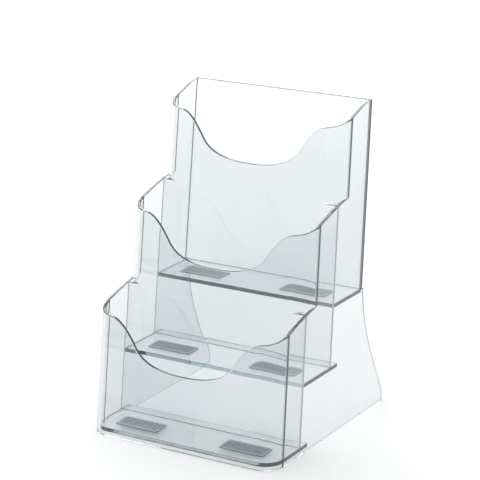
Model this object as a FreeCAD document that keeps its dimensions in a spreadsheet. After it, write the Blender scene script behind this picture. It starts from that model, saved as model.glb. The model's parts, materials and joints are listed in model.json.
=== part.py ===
"""Three-tier counter brochure holder in clear styrene, bonded from bent walls, flat sides and floors.

Frame: millimetres, +Z up, the front faces -Y and X runs across. The origin lies on the table, in
the middle of the holder's footprint. Every wall leans back by one angle and both sides draw in by
one draft angle, so each plan section is the one below it, moved back and narrowed.
"""
import FreeCAD, Part
import math
import os
import Sketcher

V = FreeCAD.Vector

doc = FreeCAD.newDocument("BrochureHolder")

# Driving dimensions, in millimetres and degrees.
sheet = doc.addObject("Spreadsheet::Sheet", "Sizes")
DRIVING = (
    ("base_width", 165.0),
    ("base_depth", 178.0),
    ("lean_angle", 6.0),
    ("draft_angle", 0.75),
    ("wall_thickness", 2.8),
    ("back_thickness", 3.0),
    ("floor_thickness", 3.2),
    ("corner_radius", 16.0),
    ("bond_gap", 0.1),
    ("middle_wall_set_back", 41.0),
    ("rear_wall_set_back", 84.0),
    ("back_set_back", 131.0),
    ("front_floor_top", 5.6),
    ("middle_floor_top", 54.9),
    ("rear_floor_top", 104.3),
    ("floor_tail", 13.0),
    ("front_corner_height", 100.9),
    ("middle_corner_height", 172.4),
    ("rear_corner_height", 244.2),
    ("corner_rim_drop", 6.3),
    ("corner_rim_half_drop", 3.9),
    ("front_smile_height", 58.4),
    ("middle_smile_height", 130.4),
    ("rear_smile_height", 202.4),
    ("smile_bend_out", 44.7),
    ("smile_bend_rise", 17.8),
    ("smile_bend_angle", 55.0),
    ("smile_base_reach", 36.0),
    ("smile_bend_low_reach", 6.2),
    ("smile_bend_high_reach", 8.4),
    ("smile_end_reach", 8.4),
    ("smile_end_angle", 12.0),
    ("front_rim_end_height", 111.0),
    ("middle_rim_end_height", 183.4),
    ("back_height", 252.5),
    ("rim_start_angle", 18.0),
    ("rim_start_reach", 14.0),
    ("rim_end_angle", 5.0),
    ("rim_end_reach", 10.0),
    ("bend_start_drop", 3.0),
    ("shoulder_ledge", 2.0),
    ("foot_start_angle", 3.0),
    ("foot_start_reach", 54.0),
    ("foot_toe_height", 4.0),
    ("foot_toe_reach", 16.0),
    ("pad_width", 38.0),
    ("pad_depth", 17.0),
    ("pad_thickness", 0.8),
    ("pad_corner_radius", 2.0),
    ("pad_side_inset", 16.5),
    ("pad_front_inset", 13.0),
)
for row, (alias, size) in enumerate(DRIVING, start=1):
    sheet.set("A%d" % row, alias)
    sheet.set("B%d" % row, str(size))
    sheet.setAlias("B%d" % row, alias)
doc.recompute()

# Slopes shared by every piece, written as expressions of the sheet.
LEAN = "tan(Sizes.lean_angle * 1deg)"
DRAFT = "tan(Sizes.draft_angle * 1deg)"
REAR = "(Sizes.base_depth / 2)"


def half_width(height):
    """Outer half width of the holder at a height."""
    return "(Sizes.base_width / 2 - (%s) * %s)" % (height, DRAFT)


def set_back(distance, height):
    """Where a leaning face lies on Y at a height, from its distance behind the front foot."""
    return "(%s - %s + (%s) * %s)" % (distance, REAR, height, LEAN)


def across(size):
    """How far a distance measured square to a leaning wall reaches along Y."""
    return "(%s / cos(Sizes.lean_angle * 1deg))" % size


def number(owner, expression):
    """The number that an expression gives for an object of the document."""
    found = owner.evalExpression(expression)
    return float(getattr(found, "Value", found))


def origin_plane(body, role):
    """The body's own origin plane with this role."""
    return next(item for item in body.Origin.OriginFeatures if item.Role == role)


def new_body(name):
    """An empty body whose label is the node's name."""
    body = doc.addObject("PartDesign::Body", name)
    body.Label = name
    return body


def new_sketch(body, name, role, height=None):
    """A sketch on one of the body's origin planes, raised along the plane's normal if asked."""
    sketch = body.newObject("Sketcher::SketchObject", name)
    sketch.AttachmentSupport = [(origin_plane(body, role), "")]
    sketch.MapMode = "FlatFace"
    if height is not None:
        sketch.setExpression("AttachmentOffset.Base.z", height)
    return sketch


def dimension(sketch, kind, references, expression):
    """Add a driving dimension to a sketch and bind it to an expression."""
    index = sketch.addConstraint(
        Sketcher.Constraint(kind, *references, number(sketch, expression)))
    sketch.setExpression("Constraints[%d]" % index, expression)


def place_point(sketch, geometry, end, x, y):
    """Fix one end of a sketch element by its two distances from the sketch's origin."""
    dimension(sketch, "DistanceX", (-1, 1, geometry, end), x)
    dimension(sketch, "DistanceY", (-1, 1, geometry, end), y)


def counter_arc(centre, radius, start, end):
    """The anticlockwise arc about a centre between two points, given in either order."""
    first, last = start - centre, end - centre
    if first.x * last.y - first.y * last.x < 0:
        first, last = last, first
    circle = Part.Circle(centre, V(0, 0, 1), radius)
    return Part.ArcOfCircle(circle, math.atan2(first.y, first.x), math.atan2(last.y, last.x))


def draw_outline(sketch, corners):
    """Draw a closed outline from its corners, each with the kind of side that starts there.

    A corner is (x, y, side). The side is None where it is straight, (radius, x, y) for an arc
    about a centre, or two control points ((x, y), (x, y)) for a free curve.
    """
    points = [V(number(sketch, x), number(sketch, y), 0) for x, y, side in corners]
    ids, ends, controls = [], [], []
    for index, (x, y, side) in enumerate(corners):
        start, end = points[index], points[(index + 1) % len(corners)]
        forward = True
        if side is None:
            shape = Part.LineSegment(start, end)
        elif len(side) == 3:
            centre = V(number(sketch, side[1]), number(sketch, side[2]), 0)
            shape = counter_arc(centre, number(sketch, side[0]), start, end)
            forward = shape.StartPoint.distanceToPoint(start) < shape.StartPoint.distanceToPoint(end)
        else:
            inner = [V(number(sketch, px), number(sketch, py), 0) for px, py in side]
            bezier = Part.BezierCurve()
            bezier.setPoles([start] + inner + [end])
            shape = bezier.toBSpline()
        geometry = sketch.addGeometry(shape, False)
        ids.append(geometry)
        ends.append((1, 2) if forward else (2, 1))
        if side is not None and len(side) == 2:
            controls.append((geometry, side))
    for index, (x, y, side) in enumerate(corners):
        following = (index + 1) % len(corners)
        sketch.addConstraint(Sketcher.Constraint(
            "Coincident", ids[index], ends[index][1], ids[following], ends[following][0]))
        place_point(sketch, ids[index], ends[index][0], x, y)
        if side is not None and len(side) == 3:
            dimension(sketch, "Radius", (ids[index],), side[0])
    for geometry, (first, second) in controls:
        # The poles appear as construction circles; the two inner ones carry the dimensions.
        pole = sketch.GeometryCount
        sketch.exposeInternalGeometry(geometry)
        place_point(sketch, pole + 1, 3, *first)
        place_point(sketch, pole + 2, 3, *second)


def straight(x, y):
    """A corner where the next side is straight."""
    return (x, y, None)


def polar(x, y, reach, angle):
    """The point at a reach from another point, along a direction given by its angle."""
    return ("(%s + %s * cos(%s * 1deg))" % (x, reach, angle),
            "(%s + %s * sin(%s * 1deg))" % (y, reach, angle))


def flipped(point):
    """The same point on the other side of the middle."""
    return ("-" + point[0], point[1])


def pocket_through(body, sketch, name):
    """Cut a sketch's region through the whole body, both ways."""
    pocket = body.newObject("PartDesign::Pocket", name)
    pocket.Profile = sketch
    pocket.Type = "ThroughAll"
    pocket.Midplane = True
    return pocket


def check_cut(before, after, name):
    """Stop if a cut took nothing away."""
    doc.recompute()
    if not after.Shape.Volume < before.Shape.Volume:
        raise RuntimeError("nothing was cut by " + name)


BLANK_SPARE = "3"
CORNER_OVERRUN = "1"


def sheet_block(body, name, corners):
    """A block between two drafted sides: a front view, drawn by its corners, padded both ways."""
    view = new_sketch(body, name + "_front_view", "XZ_Plane")
    draw_outline(view, [straight(x, z) for x, z in corners])
    doc.recompute()
    block = body.newObject("PartDesign::Pad", name + "_block")
    block.Profile = view
    block.Midplane = True
    block.setExpression("Length", "Sizes.base_depth + 2 * %s" % BLANK_SPARE)
    doc.recompute()
    return block


def keep_side_view(body, name, block, corners):
    """Cut away everything outside a side view, drawn by its corners."""
    waste = new_sketch(body, name + "_side_view", "YZ_Plane")
    reach = "(%s + 2 * %s)" % (REAR, BLANK_SPARE)
    high = "(Sizes.back_height + 2 * %s)" % BLANK_SPARE
    draw_outline(waste, (
        straight("-" + reach, "-" + BLANK_SPARE),
        straight(reach, "-" + BLANK_SPARE),
        straight(reach, high),
        straight("-" + reach, high),
    ))
    draw_outline(waste, corners)
    doc.recompute()
    cut = pocket_through(body, waste, name + "_profile")
    check_cut(block, cut, name + "_profile")
    return cut


def leaning_block(body, name, distance, rear, foot, top, inset="0"):
    """A leaning block between two planes, each given by its distance behind the front foot."""
    low, high = ("(%s - %s)" % (half_width(height), inset) for height in (foot, top))
    block = sheet_block(body, name, (
        ("-" + low, foot), (low, foot), (high, top), ("-" + high, top)))
    return keep_side_view(body, name, block, (
        straight(set_back(distance, foot), foot),
        straight(set_back(rear, foot), foot),
        straight(set_back(rear, top), top),
        straight(set_back(distance, top), top),
    ))


# Bent walls: a front panel whose two corners turn back to meet the side panels.


def smile_sketch(body, name, low, corner):
    """The region above a wall's rim: a smile low in the middle that climbs to both bends."""
    sketch = new_sketch(body, name, "XZ_Plane")
    out, bend = "Sizes.smile_bend_out", "(%s + Sizes.smile_bend_rise)" % low
    end = "(%s - Sizes.corner_radius)" % half_width(corner)
    end_height = "(%s - Sizes.corner_rim_drop)" % corner
    beyond, top = "(%s + %s)" % (end, BLANK_SPARE), "(%s + 2 * %s)" % (corner, BLANK_SPARE)
    base_pole = ("Sizes.smile_base_reach", low)
    low_pole = polar(out, bend, "-Sizes.smile_bend_low_reach", "Sizes.smile_bend_angle")
    high_pole = polar(out, bend, "Sizes.smile_bend_high_reach", "Sizes.smile_bend_angle")
    end_pole = polar(end, end_height, "-Sizes.smile_end_reach", "Sizes.smile_end_angle")
    draw_outline(sketch, (
        ("0", low, (base_pole, low_pole)),
        (out, bend, (high_pole, end_pole)),
        straight(end, end_height),
        straight(beyond, top),
        straight("-" + beyond, top),
        ("-" + end, end_height, (flipped(end_pole), flipped(high_pole))),
        ("-" + out, bend, (flipped(low_pole), flipped(base_pole))),
    ))
    return sketch


def corner_section(body, name, turn, distance, corner, drop, past="0"):
    """The room above the rim, drawn square to the sheet at an angle round a turned corner.

    The plane stands on the bend's axis, or past it by a distance towards the rear.
    """
    sketch = new_sketch(body, name, "XZ_Plane")
    sketch.AttachmentOffset = FreeCAD.Placement(V(), FreeCAD.Rotation(V(0, 1, 0), turn - 90))
    axis = "(%s + %s)" % (set_back(distance, corner), across("Sizes.corner_radius"))
    sketch.setExpression("AttachmentOffset.Base.x", half_width(corner) + " - Sizes.corner_radius")
    sketch.setExpression("AttachmentOffset.Base.z", "-(%s + %s)" % (axis, past))
    inner = "(Sizes.corner_radius - Sizes.wall_thickness - %s)" % BLANK_SPARE
    outer = "(Sizes.corner_radius + %s)" % BLANK_SPARE
    rim, top = "(%s - %s)" % (corner, drop), "(%s + 2 * %s)" % (corner, BLANK_SPARE)
    draw_outline(sketch, (
        straight(inner, rim), straight(outer, rim), straight(outer, top), straight(inner, top)))
    doc.recompute()
    return sketch


def climbing_corners(body, name, distance, corner):
    """Cut both turned corners' rims, which climb from the smile to the side panels' rims."""
    run_on = "(%s * tan(Sizes.rim_start_angle * 1deg))" % CORNER_OVERRUN
    sections = [
        corner_section(body, name + "_start", 0, distance, corner, "Sizes.corner_rim_drop"),
        corner_section(body, name + "_half", 45, distance, corner, "Sizes.corner_rim_half_drop"),
        corner_section(body, name + "_end", 90, distance, corner, "-" + run_on, CORNER_OVERRUN),
    ]
    climb = body.newObject("PartDesign::SubtractiveLoft", name)
    climb.Profile = sections[0]
    climb.Sections = sections[1:]
    doc.recompute()
    both = body.newObject("PartDesign::Mirrored", name + "_both")
    both.Originals = [climb]
    both.MirrorPlane = (origin_plane(body, "YZ_Plane"), [""])
    body.Tip = both
    return both


def front_uprights(shape):
    """The names of the two leaning edges at the front of a block."""
    edges = list(enumerate(shape.Edges, start=1))
    leaning = [(index, edge) for index, edge in edges
               if edge.BoundBox.ZLength > edge.BoundBox.XLength + edge.BoundBox.YLength]
    leaning.sort(key=lambda pair: pair[1].CenterOfMass.y)
    return ["Edge%d" % index for index, edge in leaning[:2]]


def open_faces(shape):
    """The names of the foot, top and rear faces of a block, where a bent sheet stays open."""
    faces = list(enumerate(shape.Faces, start=1))
    rear = max(faces, key=lambda pair: pair[1].CenterOfMass.y)
    low = min(faces, key=lambda pair: pair[1].CenterOfMass.z)
    high = max(faces, key=lambda pair: pair[1].CenterOfMass.z)
    return ["Face%d" % index for index, face in (rear, low, high)]


def bent_wall(name, distance, foot, low, corner):
    """A leaning, drafted wall with two rounded corners and a smile cut into its rim."""
    body = new_body(name)
    top = "(%s + %s)" % (corner, BLANK_SPARE)
    rear = "(%s + %s + Sizes.corner_radius)" % (distance, across("Sizes.corner_radius"))
    block = leaning_block(body, name, distance, rear, foot, top)
    bend = body.newObject("PartDesign::Fillet", name + "_bends")
    bend.Base = (block, front_uprights(block.Shape))
    bend.setExpression("Radius", "Sizes.corner_radius")
    doc.recompute()
    sheet_form = body.newObject("PartDesign::Thickness", name + "_sheet")
    sheet_form.Base = (bend, open_faces(bend.Shape))
    sheet_form.Reversed = True
    sheet_form.setExpression("Value", "Sizes.wall_thickness")
    doc.recompute()
    ends = new_sketch(body, name + "_ends", "YZ_Plane")
    under, over = "(%s - %s)" % (foot, BLANK_SPARE), "(%s + %s)" % (top, BLANK_SPARE)
    turned = "(%s + %s)" % (distance, across("Sizes.corner_radius"))
    far = "(%s + %s)" % (rear, BLANK_SPARE)
    draw_outline(ends, (
        straight(set_back(turned, under), under),
        straight(set_back(far, under), under),
        straight(set_back(far, over), over),
        straight(set_back(turned, over), over),
    ))
    doc.recompute()
    trimmed = pocket_through(body, ends, name + "_trim")
    check_cut(sheet_form, trimmed, name + "_trim")
    region = smile_sketch(body, name + "_smile", low, corner)
    doc.recompute()
    rim = pocket_through(body, region, name + "_rim")
    check_cut(trimmed, rim, name + "_rim")
    climbed = climbing_corners(body, name + "_climb", distance, corner)
    check_cut(rim, climbed, name + "_climb")
    return body


def flat_foot(name, distance, foot, top):
    """The flat lower part of an upper wall, which stands between the two side panels."""
    body = new_body(name)
    leaning_block(body, name, distance, "(%s + %s)" % (distance, across("Sizes.wall_thickness")),
                  foot, top, inset="(Sizes.wall_thickness + Sizes.bond_gap)")
    return body


# Side panels: flat sheets with a stepped, swooping edge, set between the walls' turned ends.


def rim_curve(start_y, start_z, end_y, end_z):
    """The control points of a rim that sets off upwards and flattens towards the next wall."""
    return (polar(start_y, start_z, "Sizes.rim_start_reach", "Sizes.rim_start_angle"),
            polar(end_y, end_z, "-Sizes.rim_end_reach", "Sizes.rim_end_angle"))


def side_view(grow):
    """The side view of a side panel; grow lifts its rims and moves its leading edges forward."""
    def lead(distance, height):
        return "(%s + %s + Sizes.bond_gap - %s)" % (
            set_back(distance, height), across("Sizes.corner_radius"), grow)

    middle, rear = "Sizes.middle_wall_set_back", "Sizes.rear_wall_set_back"
    back_face = "Sizes.back_set_back - Sizes.back_thickness"
    shoulder = "Sizes.rear_floor_top"
    starts = [(lead(wall, height), height) for wall, height in (
        ("0", "(Sizes.front_corner_height + %s)" % grow),
        (middle, "(Sizes.middle_corner_height + %s)" % grow),
        (rear, "(Sizes.rear_corner_height + %s)" % grow))]
    ends = [(lead(wall, height), height) for wall, height in (
        (middle, "(Sizes.front_rim_end_height + %s)" % grow),
        (rear, "(Sizes.middle_rim_end_height + %s)" % grow))]
    ends.append(("(%s - Sizes.bond_gap)" % set_back(back_face, "Sizes.back_height"),
                 "Sizes.back_height"))
    corners = [straight(lead("0", "0"), "0")]
    for start, end in zip(starts, ends):
        corners += [start + (rim_curve(*start, *end),), straight(*end)]
    ledge = "(%s + Sizes.shoulder_ledge)" % set_back("Sizes.back_set_back", shoulder)
    foot_curve = (
        polar(ledge, shoulder, "Sizes.foot_start_reach", "(Sizes.foot_start_angle - 90)"),
        (REAR, "(Sizes.foot_toe_height + Sizes.foot_toe_reach)"),
    )
    corners += [
        straight("(%s - Sizes.bond_gap)" % set_back(back_face, shoulder), shoulder),
        (ledge, shoulder, foot_curve),
        straight(REAR, "Sizes.foot_toe_height"),
        straight(REAR, "0"),
    ]
    return corners


def side_panel(name, inner_depth, grow):
    """The right-hand side panel, or the room that it takes from the walls when it grows."""
    body = new_body(name)
    top = "(Sizes.back_height + %s)" % BLANK_SPARE
    low, high = half_width("0"), half_width(top)
    block = sheet_block(body, name, (
        (low, "0"), (high, top),
        ("(%s - %s)" % (high, inner_depth), top), ("(%s - %s)" % (low, inner_depth), "0")))
    keep_side_view(body, name, block, side_view(grow))
    return body


def mirrored(name, source):
    """The left-hand twin of a right-hand piece."""
    twin = doc.addObject("Part::Mirroring", name)
    twin.Label = name
    twin.Source = source
    twin.Normal = V(1, 0, 0)
    return twin


right_panel = side_panel("right_side_panel", "Sizes.wall_thickness", "0")
left_panel = mirrored("left_side_panel", right_panel)

relief = side_panel("right_relief", "(Sizes.wall_thickness + Sizes.bond_gap)", "Sizes.bond_gap")
reliefs = doc.addObject("Part::MultiFuse", "reliefs")
reliefs.Shapes = [relief, mirrored("left_relief", relief)]


def upper_wall(name, distance, floor_below, rim_end, low, corner):
    """A wall that is flat between the side panels and bent back above their rims.

    Its turned ends are cut to the side panels' rims where they pass over them.
    """
    waist = "(%s - Sizes.bend_start_drop)" % rim_end
    blank = doc.addObject("Part::MultiFuse", name + "_blank")
    blank.Shapes = [
        flat_foot(name + "_flat", distance, "(%s + Sizes.bond_gap)" % floor_below, waist),
        bent_wall(name + "_bent", distance, waist, low, corner),
    ]
    blank.Refine = True
    fitted = doc.addObject("Part::Cut", name)
    fitted.Label = name
    fitted.Base = blank
    fitted.Tool = reliefs
    return fitted


front_wall = bent_wall(
    "front_wall", "0", "0", "Sizes.front_smile_height", "Sizes.front_corner_height")
middle_wall = upper_wall(
    "middle_wall", "Sizes.middle_wall_set_back", "Sizes.front_floor_top",
    "Sizes.front_rim_end_height", "Sizes.middle_smile_height", "Sizes.middle_corner_height")
rear_wall = upper_wall(
    "rear_wall", "Sizes.rear_wall_set_back", "Sizes.middle_floor_top",
    "Sizes.middle_rim_end_height", "Sizes.rear_smile_height", "Sizes.rear_corner_height")


# Back wall: a flat sheet that stands on the rear floor and covers the side panels' rear edges.

back_wall = new_body("back_wall")
leaning_block(back_wall, "back_wall", "Sizes.back_set_back - Sizes.back_thickness",
              "Sizes.back_set_back", "(Sizes.rear_floor_top + Sizes.bond_gap)",
              "Sizes.back_height")


# Floors: flat plates that close the foot of each pocket and carry the next wall.


def floor_plate(name, top, wall, rear, rounded):
    """A floor that fits inside a wall's foot, its front corners rounded or square to match."""
    body = new_body(name)
    sketch = new_sketch(body, name + "_outline", "XY_Plane", "%s - Sizes.floor_thickness" % top)
    half = "(%s - Sizes.wall_thickness - Sizes.bond_gap)" % half_width(top)
    front = "(%s + %s + Sizes.bond_gap)" % (set_back(wall, top), across("Sizes.wall_thickness"))
    if rounded:
        turn = "(Sizes.corner_radius - Sizes.wall_thickness - Sizes.bond_gap)"
        centre_x, centre_y = "(%s - %s)" % (half, turn), "(%s + %s)" % (front, turn)
        front_corners = (
            ("-" + half, centre_y, (turn, "-" + centre_x, centre_y)),
            straight("-" + centre_x, front),
            (centre_x, front, (turn, centre_x, centre_y)),
            straight(half, centre_y),
        )
    else:
        front_corners = (straight("-" + half, front), straight(half, front))
    draw_outline(sketch, front_corners + (straight(half, rear), straight("-" + half, rear)))
    doc.recompute()
    plate = body.newObject("PartDesign::Pad", name + "_plate")
    plate.Profile = sketch
    plate.setExpression("Length", "Sizes.floor_thickness")
    return body


def tail_under(wall, top):
    """The rear edge of a floor that runs on under the next wall's foot."""
    return set_back(wall + " + Sizes.floor_tail", top)


floors = [
    floor_plate("front_floor", "Sizes.front_floor_top", "0",
                tail_under("Sizes.middle_wall_set_back", "Sizes.front_floor_top"), True),
    floor_plate("middle_floor", "Sizes.middle_floor_top", "Sizes.middle_wall_set_back",
                tail_under("Sizes.rear_wall_set_back", "Sizes.middle_floor_top"), False),
    floor_plate("rear_floor", "Sizes.rear_floor_top", "Sizes.rear_wall_set_back",
                set_back("Sizes.back_set_back", "Sizes.rear_floor_top"), False),
]


# Grip pads: thin textured pads bonded near the front of each floor, one at either side.


def grip_pad(name, top, wall):
    """The right-hand pad on a floor."""
    body = new_body(name)
    sketch = new_sketch(body, name + "_outline", "XY_Plane", "%s + Sizes.bond_gap" % top)
    outer = "(%s - Sizes.pad_side_inset)" % half_width(top)
    inner = "(%s - Sizes.pad_width)" % outer
    front = "(%s + Sizes.pad_front_inset)" % set_back(wall, top)
    rear = "(%s + Sizes.pad_depth)" % front
    turn = "Sizes.pad_corner_radius"
    left_turn, right_turn = "(%s + %s)" % (inner, turn), "(%s - %s)" % (outer, turn)
    front_turn, rear_turn = "(%s + %s)" % (front, turn), "(%s - %s)" % (rear, turn)
    draw_outline(sketch, (
        straight(left_turn, front),
        (right_turn, front, (turn, right_turn, front_turn)),
        straight(outer, front_turn),
        (outer, rear_turn, (turn, right_turn, rear_turn)),
        straight(right_turn, rear),
        (left_turn, rear, (turn, left_turn, rear_turn)),
        straight(inner, rear_turn),
        (inner, front_turn, (turn, left_turn, front_turn)),
    ))
    doc.recompute()
    pad = body.newObject("PartDesign::Pad", name + "_sheet")
    pad.Profile = sketch
    pad.setExpression("Length", "Sizes.pad_thickness")
    return body


pads = []
for tier, wall in (("front", "0"), ("middle", "Sizes.middle_wall_set_back"),
                   ("rear", "Sizes.rear_wall_set_back")):
    right_pad = grip_pad(tier + "_right_pad", "Sizes.%s_floor_top" % tier, wall)
    pads += [right_pad, mirrored(tier + "_left_pad", right_pad)]


# Checks, then one file for each piece.

doc.recompute()
for item in doc.Objects:
    if "Invalid" in item.State or "Error" in item.State:
        raise RuntimeError("%s failed: %s" % (item.Name, item.State))

pieces = [front_wall, middle_wall, rear_wall, right_panel, left_panel, back_wall] + floors + pads
for piece in pieces:
    shape = piece.Shape
    if shape.isNull() or not shape.isValid() or len(shape.Solids) != 1:
        raise RuntimeError("%s has no single valid solid" % piece.Label)

os.makedirs("parts", exist_ok=True)
for piece in pieces:
    piece.Shape.exportStep("parts/%s.step" % piece.Label)
    print("%-18s %9.1f mm3" % (piece.Label, piece.Shape.Volume))
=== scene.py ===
import json
import math

import bpy
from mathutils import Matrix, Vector

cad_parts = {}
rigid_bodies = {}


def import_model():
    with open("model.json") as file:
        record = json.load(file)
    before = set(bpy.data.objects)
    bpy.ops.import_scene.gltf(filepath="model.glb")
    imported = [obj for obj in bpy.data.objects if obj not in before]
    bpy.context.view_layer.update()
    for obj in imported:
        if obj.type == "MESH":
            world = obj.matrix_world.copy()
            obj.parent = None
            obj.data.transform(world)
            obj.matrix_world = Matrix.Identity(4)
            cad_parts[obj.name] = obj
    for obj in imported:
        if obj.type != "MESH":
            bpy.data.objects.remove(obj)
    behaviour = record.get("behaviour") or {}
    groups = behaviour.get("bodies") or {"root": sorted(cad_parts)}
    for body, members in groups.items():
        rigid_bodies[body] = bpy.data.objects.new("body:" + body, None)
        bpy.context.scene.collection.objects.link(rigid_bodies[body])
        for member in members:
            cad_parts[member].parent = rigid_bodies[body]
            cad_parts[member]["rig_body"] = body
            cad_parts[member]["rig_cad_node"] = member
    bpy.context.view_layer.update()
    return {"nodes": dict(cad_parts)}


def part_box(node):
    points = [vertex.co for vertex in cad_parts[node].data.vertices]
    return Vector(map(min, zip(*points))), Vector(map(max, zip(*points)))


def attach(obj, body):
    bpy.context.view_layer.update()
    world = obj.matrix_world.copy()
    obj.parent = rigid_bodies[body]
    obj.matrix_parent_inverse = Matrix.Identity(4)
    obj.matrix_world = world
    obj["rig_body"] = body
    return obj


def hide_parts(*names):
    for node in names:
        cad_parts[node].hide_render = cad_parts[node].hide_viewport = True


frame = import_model()

# Bent walls: three clear styrene sheets, heated and turned back at both corners, the upper two
# only above a waist. The scooped rim is flame polished until it is nearly round, and the sawn
# ends are cemented to the side panels.

TIERS = ("front", "middle", "rear")
LEAN, SIDE_DRAFT = math.radians(6), math.radians(0.75)
HALF_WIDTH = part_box("front_wall")[1][0]
BEND_RADIUS = 0.016
WAIST = {"front": 0.0, "middle": 0.108, "rear": 0.1804}
RIM_ROUND, SAWN_ROUND = 0.0008, 0.00015
ROUND_STEPS, ROUND_SHADING = 4, math.radians(35)
MERGE_REACH, FLAT_ANGLE = 0.00015, math.radians(0.5)

# How squarely a face has to look one way, and how near a height it has to lie, to be picked.
UPWARD, FACING, SQUARE_ON = 0.3, 0.9, 0.99
SAME_FACE = math.cos(math.radians(9))
CLOSE_BY = 0.001

# Each finish has two shades, a least and a most roughness, and a share of it that is clear.
SHEET_SHADES = (0.85, 0.862, 0.874, 1), (0.885, 0.895, 0.905, 1)
# The polished edges' darker blue-green is painted shade, for the light that is lost on its long
# way along the sheet.
EDGE_PAINTED_SHADES = (0.16, 0.30, 0.31, 1), (0.27, 0.42, 0.43, 1)
# The cement's near black is painted shade: the dark line that total reflection in a cemented gap
# shows.
CEMENT_PAINTED_SHADES = (0.03, 0.08, 0.085, 1), (0.07, 0.14, 0.14, 1)
BUTT_SHADES = (0.84, 0.87, 0.89, 1), (0.90, 0.92, 0.93, 1)
EDGE_CLEAR, CEMENT_CLEAR, BUTT_CLEAR = 0.7, 0.15, 0.3
SHEET_ROUGHNESS, EDGE_ROUGHNESS, BOND_ROUGHNESS = (0.0, 0.02), (0.05, 0.15), (0.25, 0.45)
GLOSSY, MATT = 0.5, 0.0
STYRENE_IOR = 1.58
BODY_COLOUR, BODY_DENSITY = (0.36, 0.55, 0.58, 1), 22.0
LAMP_TINT = (0.992, 0.994, 0.994, 1)
CLOUD_DETAIL, CLOUD_RANGE = 3, (0.3, 0.7)
SHEET_CLOUDS = 14
SHEET_WAVES = 30, 0.15, 0.0005
CLEAR, POLISHED_AND_SHADED, CEMENTED_AND_SHADED, BUTTED = range(4)


def cloudy_colour(tree, shades, scale):
    """A colour that drifts between two close shades over the piece, in object space."""
    place = tree.nodes.new("ShaderNodeTexCoord")
    clouds = tree.nodes.new("ShaderNodeTexNoise")
    clouds.inputs["Scale"].default_value = scale
    clouds.inputs["Detail"].default_value = CLOUD_DETAIL
    ramp = tree.nodes.new("ShaderNodeValToRGB")
    for index in range(2):
        ramp.color_ramp.elements[index].position = CLOUD_RANGE[index]
        ramp.color_ramp.elements[index].color = shades[index]
    tree.links.new(place.outputs["Object"], clouds.inputs["Vector"])
    tree.links.new(clouds.outputs["Fac"], ramp.inputs["Fac"])
    return ramp.outputs["Color"], clouds.outputs["Fac"], place


def fine_bump(tree, place, scale, strength, depth):
    """The small unevenness of a surface, in object space."""
    grain = tree.nodes.new("ShaderNodeTexNoise")
    grain.inputs["Scale"].default_value = scale
    bump = tree.nodes.new("ShaderNodeBump")
    bump.inputs["Strength"].default_value = strength
    bump.inputs["Distance"].default_value = depth
    tree.links.new(place.outputs["Object"], grain.inputs["Vector"])
    tree.links.new(grain.outputs["Fac"], bump.inputs["Height"])
    return bump.outputs["Normal"]


def ray_is(tree, first, *others):
    """1 for a ray of any of the named kinds, 0 for every other ray."""
    path = tree.nodes.new("ShaderNodeLightPath")
    answer = path.outputs["Is %s Ray" % first]
    for kind in others:
        either = tree.nodes.new("ShaderNodeMath")
        either.operation = "MAXIMUM"
        tree.links.new(answer, either.inputs[0])
        tree.links.new(path.outputs["Is %s Ray" % kind], either.inputs[1])
        answer = either.outputs["Value"]
    return answer


def clear_plastic(name, shades, roughness, clear_share=1.0, gloss=GLOSSY):
    """Clear styrene that lets lamps through, with a blue-green body along its edges."""
    material = bpy.data.materials.new(name)
    material.use_nodes = True
    tree = material.node_tree
    shader = tree.nodes["Principled BSDF"]
    colour, clouds, place = cloudy_colour(tree, shades, SHEET_CLOUDS)
    smudges = tree.nodes.new("ShaderNodeMapRange")
    smudges.inputs["To Min"].default_value = roughness[0]
    smudges.inputs["To Max"].default_value = roughness[1]
    tree.links.new(clouds, smudges.inputs["Value"])
    tree.links.new(colour, shader.inputs["Base Color"])
    tree.links.new(smudges.outputs["Result"], shader.inputs["Roughness"])
    tree.links.new(fine_bump(tree, place, *SHEET_WAVES), shader.inputs["Normal"])
    shader.inputs["Transmission Weight"].default_value = clear_share
    shader.inputs["Specular IOR Level"].default_value = gloss
    shader.inputs["IOR"].default_value = STYRENE_IOR
    body = tree.nodes.new("ShaderNodeVolumeAbsorption")
    body.inputs["Color"].default_value = BODY_COLOUR
    body.inputs["Density"].default_value = BODY_DENSITY
    open_way = tree.nodes.new("ShaderNodeBsdfTransparent")
    open_way.inputs["Color"].default_value = LAMP_TINT
    mix = tree.nodes.new("ShaderNodeMixShader")
    output = tree.nodes["Material Output"]
    tree.links.new(ray_is(tree, "Shadow", "Diffuse"), mix.inputs["Fac"])
    tree.links.new(shader.outputs["BSDF"], mix.inputs[1])
    tree.links.new(open_way.outputs["BSDF"], mix.inputs[2])
    tree.links.new(mix.outputs["Shader"], output.inputs["Surface"])
    tree.links.new(body.outputs["Volume"], output.inputs["Volume"])
    return material


sheet_material = clear_plastic("clear_styrene", SHEET_SHADES, SHEET_ROUGHNESS)
# Painted shade: the polished edges, waist steps, rear curves and back wall sides are tinted darker
# than the sheet.
edge_shade_material = clear_plastic("polished_edge_painted_shade", EDGE_PAINTED_SHADES, EDGE_ROUGHNESS, EDGE_CLEAR)
# Painted shade: cemented joints and feet are tinted near black, where the real cement is clear.
cement_shade_material = clear_plastic("cemented_edge_painted_shade", CEMENT_PAINTED_SHADES, BOND_ROUGHNESS, CEMENT_CLEAR, MATT)
butt_material = clear_plastic("butted_edge", BUTT_SHADES, BOND_ROUGHNESS, BUTT_CLEAR, MATT)


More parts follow.
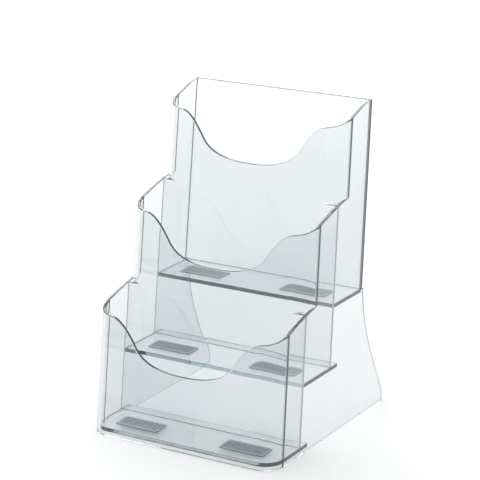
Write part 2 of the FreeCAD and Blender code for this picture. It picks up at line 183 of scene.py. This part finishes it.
def merged_copy(name, node):
    """A copy of a CAD node with its triangles merged into clean faces, ready to be finished."""
    bpy.ops.object.select_all(action="DESELECT")
    source = frame["nodes"][node]
    piece = source.copy()
    piece.data = source.data.copy()
    piece.name = name
    piece.parent = None
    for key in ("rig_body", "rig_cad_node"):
        if key in piece:
            del piece[key]
    bpy.context.scene.collection.objects.link(piece)
    bpy.context.view_layer.objects.active = piece
    piece.select_set(True)
    bpy.ops.object.mode_set(mode="EDIT")
    bpy.ops.mesh.select_all(action="SELECT")
    bpy.ops.mesh.remove_doubles(threshold=MERGE_REACH)
    bpy.ops.mesh.dissolve_limited(angle_limit=FLAT_ANGLE)
    bpy.ops.mesh.select_all(action="DESELECT")
    bpy.ops.object.mode_set(mode="OBJECT")
    return piece


def weigh_outline(piece, chosen, weight):
    """Give a bevel weight to the outline of the faces that a test picks."""
    bpy.ops.object.mode_set(mode="EDIT")
    bpy.ops.mesh.select_mode(type="FACE")
    bpy.ops.mesh.select_all(action="DESELECT")
    bpy.ops.object.mode_set(mode="OBJECT")
    for face in piece.data.polygons:
        face.select = chosen(face)
    bpy.ops.object.mode_set(mode="EDIT")
    bpy.ops.mesh.region_to_loop()
    bpy.ops.object.mode_set(mode="OBJECT")
    weights = piece.data.attributes.get("bevel_weight_edge")
    if weights is None:
        weights = piece.data.attributes.new("bevel_weight_edge", "FLOAT", "EDGE")
    for edge in piece.data.edges:
        if edge.select:
            weights.data[edge.index].value = weight


def round_outline(piece, width, steps, shading, clamp):
    """Round the weighted edges, the full width at a weight of 1, and shade the turn smooth."""
    bevel = piece.modifiers.new("rounded", "BEVEL")
    bevel.width = width
    bevel.segments = steps
    bevel.limit_method = "WEIGHT"
    bevel.use_clamp_overlap = clamp
    bpy.ops.object.modifier_apply(modifier="rounded")
    bpy.ops.object.shade_smooth_by_angle(angle=shading)


def finish_sheet(piece, node, is_rim, is_sawn, finish, rim_round=RIM_ROUND, body=sheet_material):
    """Round the rims well and the sawn edges a little, and give each face its finish, the polished
    and cemented ones with painted shade.
    """
    piece.data.materials.clear()
    for material in (body, edge_shade_material, cement_shade_material, butt_material):
        piece.data.materials.append(material)
    for face in piece.data.polygons:
        face.material_index = finish(face)
    weigh_outline(piece, is_rim, rim_round / RIM_ROUND)
    weigh_outline(piece, is_sawn, SAWN_ROUND / RIM_ROUND)
    round_outline(piece, RIM_ROUND, ROUND_STEPS, ROUND_SHADING, clamp=False)
    weighted = piece.modifiers.new("flat_faces", "WEIGHTED_NORMAL")
    weighted.mode = "FACE_AREA_WITH_ANGLE"
    weighted.keep_sharp = True
    bpy.ops.object.modifier_apply(modifier="flat_faces")
    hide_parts(node)
    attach(piece, "root")


def behind(face):
    """How far a face lies to the rear, measured along the lean."""
    return face.center.y - face.center.z * math.tan(LEAN)


def wall_end(face):
    """A wall's sawn end, where a side panel takes over."""
    return face.normal.y > FACING and behind(face) > rearmost - CLOSE_BY


def scooped_rim(face):
    """The rim, from the left end over the scoop to the right one."""
    return face.normal.z > UPWARD and face.center.z > WAIST[tier] + CLOSE_BY


def flat_end(face):
    """Below the waist, an upper wall's end, butted against a side panel's inner face."""
    return abs(face.normal.x) > SQUARE_ON and face.center.z < WAIST[tier]


def waist_step(face):
    """The small step where an upper wall starts to turn back."""
    return abs(face.normal.z) > FACING and abs(face.center.z - WAIST[tier]) < CLOSE_BY


def foot(face):
    """A wall's lower edge, which is cemented on the two upper walls."""
    return face.normal.z < -FACING and face.center.z < foot_corner[2] + CLOSE_BY


def wall_finish(face):
    """Which of the four finishes a wall's face has; the polished edges are painted a darker
    blue-green and the cement near black, both as painted shade.
    """
    if wall_end(face) or (foot(face) and tier != "front"):
        return CEMENTED_AND_SHADED
    if flat_end(face):
        return BUTTED
    return POLISHED_AND_SHADED if scooped_rim(face) or waist_step(face) else CLEAR


def outward(point):
    """Which way a bent wall's outer face looks beside a point, on a flat or in a bend."""
    front_face = foot_corner[1] + (point.z - foot_corner[2]) * math.tan(LEAN)
    side_face = HALF_WIDTH - point.z * math.tan(SIDE_DRAFT)
    across = abs(point.x) - (side_face - BEND_RADIUS)
    along = point.y - (front_face + BEND_RADIUS)
    look = Vector((max(across, 0.0), min(along, 0.0), 0.0)).normalized()
    look.z = look.x * math.tan(SIDE_DRAFT) - look.y * math.tan(LEAN)
    look.x = math.copysign(look.x, point.x)
    return look.normalized()


def polish_faces(wall):
    """Give the faces the smooth turn of the bend, so that what lies behind shows without waves."""
    mesh = wall.data
    normals = [corner.vector.copy() for corner in mesh.corner_normals]
    for face in mesh.polygons:
        for corner in face.loop_indices:
            look = outward(mesh.vertices[mesh.loops[corner].vertex_index].co)
            if abs(face.normal.dot(look)) > SAME_FACE:
                normals[corner] = look if face.normal.dot(look) > 0 else -look
    mesh.normals_split_custom_set(normals)


for tier in TIERS:
    foot_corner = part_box(tier + "_wall")[0]
    wall = merged_copy(tier + "_wall_sheet", tier + "_wall")
    rearmost = max(behind(face) for face in wall.data.polygons)
    finish_sheet(
        wall, tier + "_wall",
        is_rim=scooped_rim,
        is_sawn=lambda face: wall_end(face) or (tier == "front" and foot(face)),
        finish=wall_finish)
    polish_faces(wall)


# Side panels: two flat clear sheets, sawn to a stepped, swooping outline and lightly flame
# polished along every open edge. Their leading edges are cemented to the walls' turned ends.

SIDES = ("left", "right")
SHOULDER_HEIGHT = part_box("back_wall")[0][2]
PANEL_RIM_ROUND = 0.0004


def panel_open_edge(face):
    """A rim, or the curved rear edge below the back wall."""
    return face.normal.z > UPWARD or (face.normal.y > UPWARD and face.center.z < SHOULDER_HEIGHT)


def panel_bonded_edge(face):
    """A leading edge, cemented to a wall's end, or the long edge under the back wall."""
    return abs(face.normal.y) > FACING and not panel_open_edge(face)


def panel_finish(face):
    """The bonded edges show cement, painted near black as shade, and the rear curve a darker
    blue-green painted as shade; the rims stay clear.
    """
    if panel_bonded_edge(face):
        return CEMENTED_AND_SHADED
    return POLISHED_AND_SHADED if panel_open_edge(face) and face.normal.y > UPWARD else CLEAR


for side in SIDES:
    panel = merged_copy(side + "_panel_sheet", side + "_side_panel")
    finish_sheet(
        panel, side + "_side_panel",
        is_rim=panel_open_edge,
        is_sawn=lambda face: face.normal.z < -FACING or panel_bonded_edge(face),
        finish=panel_finish,
        rim_round=PANEL_RIM_ROUND)


# Back wall: a flat clear sheet behind the rear pocket, cemented over the side panels' rear edges
# and along its foot, and polished along its top and both sides.

def back_top(face):
    """The upper edge, rounded as well as the walls' rims are."""
    return face.normal.z > UPWARD


def back_side(face):
    """One of the two upright edges."""
    return abs(face.normal.x) > FACING


def back_finish(face):
    """The foot shows cement, painted near black as shade, and the other three edges a darker
    blue-green painted as shade.
    """
    if face.normal.z < -FACING:
        return CEMENTED_AND_SHADED
    return POLISHED_AND_SHADED if back_top(face) or back_side(face) else CLEAR


back = merged_copy("back_wall_sheet", "back_wall")
finish_sheet(back, "back_wall", is_rim=back_top, is_sawn=back_side, finish=back_finish)


# Floors: flat plates of a clearer, less tinted plastic, let in at the foot of each pocket and
# cemented at the sides, with a sawn rear edge that runs on under the next wall.

FLOOR_SHADES = (0.925, 0.935, 0.943, 1), (0.95, 0.958, 0.965, 1)
CORNER_TURN = 0.2
floor_material = clear_plastic("clear_floor", FLOOR_SHADES, SHEET_ROUGHNESS)


def floor_finish(face):
    """Cemented at the sides and turned corners, and where the back wall stands on the rear one;
    the cement is painted near black as shade.
    """
    under_back = tier == "rear" and face.normal.y > FACING
    return CEMENTED_AND_SHADED if abs(face.normal.x) > CORNER_TURN or under_back else CLEAR


for tier in TIERS:
    floor = merged_copy(tier + "_floor_sheet", tier + "_floor")
    finish_sheet(
        floor, tier + "_floor",
        is_rim=lambda face: False,
        is_sawn=lambda face: abs(face.normal.z) > FACING,
        finish=floor_finish,
        body=floor_material)


# Grip pads: thin pads of frosted plastic stuck to the floors. Rows of small flat-topped diamonds
# are moulded on them, and keep what stands in the pocket from sliding.

PAD_ROUND = 0.00025
PAD_ROUND_STEPS, PAD_SHADING = 3, math.radians(40)
DIAMOND_WIDTH, DIAMOND_HEIGHT, DIAMOND_TAPER = 0.0022, 0.00055, 0.455
DIAMOND_SINK = 0.0001
HATCH_PITCH, HATCH_COLUMNS, HATCH_ROWS = 0.0027, 13, 5
HATCH_LENGTH = HATCH_PITCH * (HATCH_COLUMNS - 0.5)
HATCH_DEPTH = HATCH_PITCH * (HATCH_ROWS - 0.5)
PAD_SHADES = (0.56, 0.73, 0.77, 1), (0.72, 0.86, 0.90, 1)
# The diamonds' slopes are darker than their tops by painted shade, set by how far each face looks
# up.
PAINTED_SLOPE_SHADE, SLOPE_SHADE_SPAN = (0.10, 0.18, 0.20, 1), (0.6, 0.95)
PAD_CLOUDS = 60
PAD_GRAIN = 900, 0.4, 0.0001
PAD_ROUGHNESS, PAD_CLEAR, PAD_IOR = 0.38, 0.35, 1.5

bpy.ops.object.select_all(action="DESELECT")
bpy.ops.mesh.primitive_plane_add(
    size=DIAMOND_WIDTH / math.sqrt(2), rotation=(0, 0, math.radians(45)))
hatch = bpy.context.object
bpy.ops.object.transform_apply(location=False, rotation=True, scale=False)
bpy.ops.object.mode_set(mode="EDIT")
bpy.ops.mesh.select_all(action="SELECT")
bpy.ops.mesh.extrude_region_move(TRANSFORM_OT_translate={"value": (0, 0, DIAMOND_HEIGHT)})
bpy.ops.transform.resize(
    value=(DIAMOND_TAPER, DIAMOND_TAPER, 1), center_override=(0, 0, DIAMOND_HEIGHT))
bpy.ops.mesh.select_all(action="SELECT")
bpy.ops.mesh.normals_make_consistent(inside=False)
bpy.ops.object.mode_set(mode="OBJECT")
for count, step in ((2, (HATCH_PITCH / 2, HATCH_PITCH / 2, 0)),
                    (HATCH_COLUMNS, (HATCH_PITCH, 0, 0)),
                    (HATCH_ROWS, (0, HATCH_PITCH, 0))):
    rows = hatch.modifiers.new("rows", "ARRAY")
    rows.count = count
    rows.use_relative_offset = False
    rows.use_constant_offset = True
    rows.constant_offset_displace = step
    bpy.ops.object.modifier_apply(modifier="rows")

pad_material = bpy.data.materials.new("frosted_pad")
pad_material.use_nodes = True
tree = pad_material.node_tree
shader = tree.nodes["Principled BSDF"]
colour, _, place = cloudy_colour(tree, PAD_SHADES, PAD_CLOUDS)
# Painted shade: faces that look less upward are blended toward the dark slope colour.
geometry = tree.nodes.new("ShaderNodeNewGeometry")
facing = tree.nodes.new("ShaderNodeSeparateXYZ")
slope_shade_mask = tree.nodes.new("ShaderNodeMapRange")
slope_shade_mask.inputs["From Min"].default_value = SLOPE_SHADE_SPAN[0]
slope_shade_mask.inputs["From Max"].default_value = SLOPE_SHADE_SPAN[1]
painted_slope_shade = tree.nodes.new("ShaderNodeMix")
painted_slope_shade.data_type = "RGBA"
painted_slope_shade.inputs["A"].default_value = PAINTED_SLOPE_SHADE
tree.links.new(geometry.outputs["Normal"], facing.inputs["Vector"])
tree.links.new(facing.outputs["Z"], slope_shade_mask.inputs["Value"])
tree.links.new(slope_shade_mask.outputs["Result"], painted_slope_shade.inputs["Factor"])
tree.links.new(colour, painted_slope_shade.inputs["B"])
tree.links.new(painted_slope_shade.outputs["Result"], shader.inputs["Base Color"])
tree.links.new(fine_bump(tree, place, *PAD_GRAIN), shader.inputs["Normal"])
shader.inputs["Roughness"].default_value = PAD_ROUGHNESS
shader.inputs["Transmission Weight"].default_value = PAD_CLEAR
shader.inputs["IOR"].default_value = PAD_IOR


def mould_hatch(pad, pad_low, pad_high):
    """Join a copy of the hatch to a pad, in its middle and sunk a little into its top."""
    bpy.ops.object.select_all(action="DESELECT")
    studs = hatch.copy()
    studs.data = hatch.data.copy()
    bpy.context.scene.collection.objects.link(studs)
    studs.location = ((pad_low[0] + pad_high[0] - HATCH_LENGTH) / 2,
                      (pad_low[1] + pad_high[1] - HATCH_DEPTH) / 2,
                      pad_high[2] - DIAMOND_SINK)
    bpy.context.view_layer.objects.active = studs
    studs.select_set(True)
    bpy.ops.object.transform_apply(location=True, rotation=False, scale=False)
    pad.select_set(True)
    bpy.context.view_layer.objects.active = pad
    bpy.ops.object.join()


for tier in TIERS:
    for side in SIDES:
        node = "%s_%s_pad" % (tier, side)
        pad = merged_copy(node + "_sheet", node)
        pad.data.materials.clear()
        weigh_outline(pad, lambda face: face.normal.z > FACING, 1.0)
        round_outline(pad, PAD_ROUND, PAD_ROUND_STEPS, PAD_SHADING, clamp=True)
        mould_hatch(pad, *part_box(node))
        pad.data.materials.append(pad_material)
        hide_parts(node)
        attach(pad, "root")
bpy.data.objects.remove(hatch)


# The table: a seamless white sweep of paper, just under the holder's feet. It shows pure white to
# the eye and in the plastic, but keeps the holder's shadow.

TABLE_SIZE, TABLE_DROP = 8, 0.0002
PAPER_COLOUR, PAPER_ROUGHNESS, PAPER_GLOW = (0.86, 0.86, 0.86, 1), 1.0, 0.33
WHITE = (1, 1, 1, 1)


def seen_ray(tree):
    """1 for rays that show a background: those of the camera, of reflections and through glass."""
    return ray_is(tree, "Camera", "Glossy", "Transmission")


bpy.ops.object.select_all(action="DESELECT")
bpy.ops.mesh.primitive_plane_add(size=TABLE_SIZE, location=(0, 0, -TABLE_DROP))
table = bpy.context.object
table.name = "studio_floor"
paper = bpy.data.materials.new("studio_paper")
paper.use_nodes = True
tree = paper.node_tree
shader = tree.nodes["Principled BSDF"]
shader.inputs["Base Color"].default_value = PAPER_COLOUR
shader.inputs["Roughness"].default_value = PAPER_ROUGHNESS
shader.inputs["Specular IOR Level"].default_value = MATT
glow = tree.nodes.new("ShaderNodeMath")
glow.operation = "MULTIPLY"
glow.inputs[1].default_value = PAPER_GLOW
tree.links.new(seen_ray(tree), glow.inputs[0])
tree.links.new(glow.outputs["Value"], shader.inputs["Emission Strength"])
shader.inputs["Emission Color"].default_value = WHITE
table.data.materials.append(paper)


# The studio: even soft daylight from all round, with one large soft box high behind the holder
# that draws a bright line along the polished rims.

DAYLIGHT, BACKDROP = 0.6, 1.0
SOFT_BOX_SIZE, SOFT_BOX_POWER = 1.2, 20.0
SOFT_BOX_PLACE = Vector((-1.08, 1.25, 1.45))

world = bpy.data.worlds.new("studio_world")
bpy.context.scene.world = world
world.use_nodes = True
tree = world.node_tree
background = tree.nodes["Background"]
background.inputs["Color"].default_value = WHITE
level = tree.nodes.new("ShaderNodeMapRange")
level.inputs["To Min"].default_value = DAYLIGHT
level.inputs["To Max"].default_value = BACKDROP
tree.links.new(seen_ray(tree), level.inputs["Value"])
tree.links.new(level.outputs["Result"], background.inputs["Strength"])

bpy.ops.object.light_add(type="AREA", location=SOFT_BOX_PLACE)
soft_box = bpy.context.object
soft_box.name = "soft_box"
soft_box.rotation_mode = "QUATERNION"
soft_box.rotation_quaternion = (-SOFT_BOX_PLACE).to_track_quat("-Z", "Y")
soft_box.data.size = SOFT_BOX_SIZE
soft_box.data.energy = SOFT_BOX_POWER


# The camera: a long lens at the photograph's viewing angle, fitted to the holder's edges so that
# they lie where the photograph shows them.

AIM = Vector((0.05449, -0.089, 0.17669))
AZIMUTH, ELEVATION, REACH = math.radians(30.70), math.radians(16.80), 1.4585
SENSOR_WIDTH, LENS = 36, 152.0
NEAR_CLIP, FAR_CLIP = 0.05, 20
away = Vector((math.sin(AZIMUTH) * math.cos(ELEVATION),
               -math.cos(AZIMUTH) * math.cos(ELEVATION),
               math.sin(ELEVATION)))
bpy.ops.object.camera_add(location=AIM + away * REACH)
camera = bpy.context.object
camera.rotation_mode = "QUATERNION"
camera.rotation_quaternion = (-away).to_track_quat("-Z", "Y")
camera.data.sensor_width = SENSOR_WIDTH
camera.data.lens = LENS
camera.data.clip_start = NEAR_CLIP
camera.data.clip_end = FAR_CLIP
bpy.context.scene.camera = camera
bpy.context.scene.view_settings.view_transform = "Standard"
